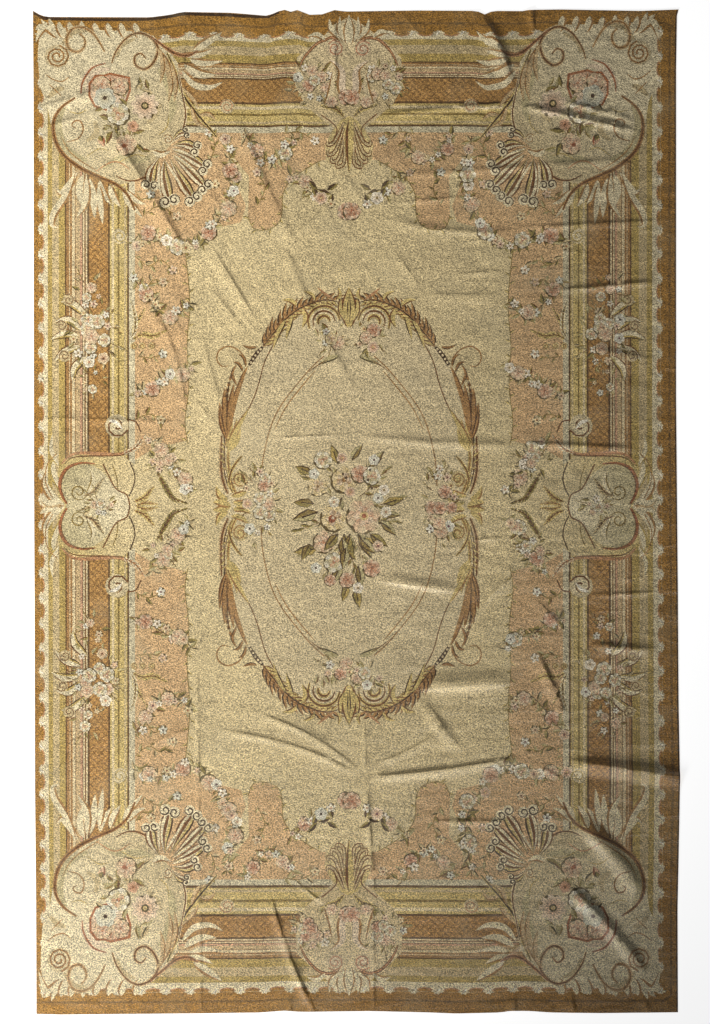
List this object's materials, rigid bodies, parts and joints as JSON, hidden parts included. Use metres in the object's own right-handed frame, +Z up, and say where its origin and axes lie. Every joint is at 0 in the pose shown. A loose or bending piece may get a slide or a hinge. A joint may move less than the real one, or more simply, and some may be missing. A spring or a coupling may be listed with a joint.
{
  "type": "aubusson rug",
  "caption": "Room-size flat-woven tapestry rug with a floral medallion and woven borders, lying open with soft folds and creases on a floor",
  "frame": {"origin": "on the floor, under the middle of the rug's extent", "axes": "+X across the rug's width, +Y along its length, +Z up from the floor"},
  "size_m": [3.1058, 4.824, 0.0264],
  "materials": {
    "wool_tapestry": "matte hand-woven wool with fine weft ribs, worn and sun-faded"
  },
  "bodies": {
    "root": {"woven_panel": "wool_tapestry"}
  },
  "joints": []
}
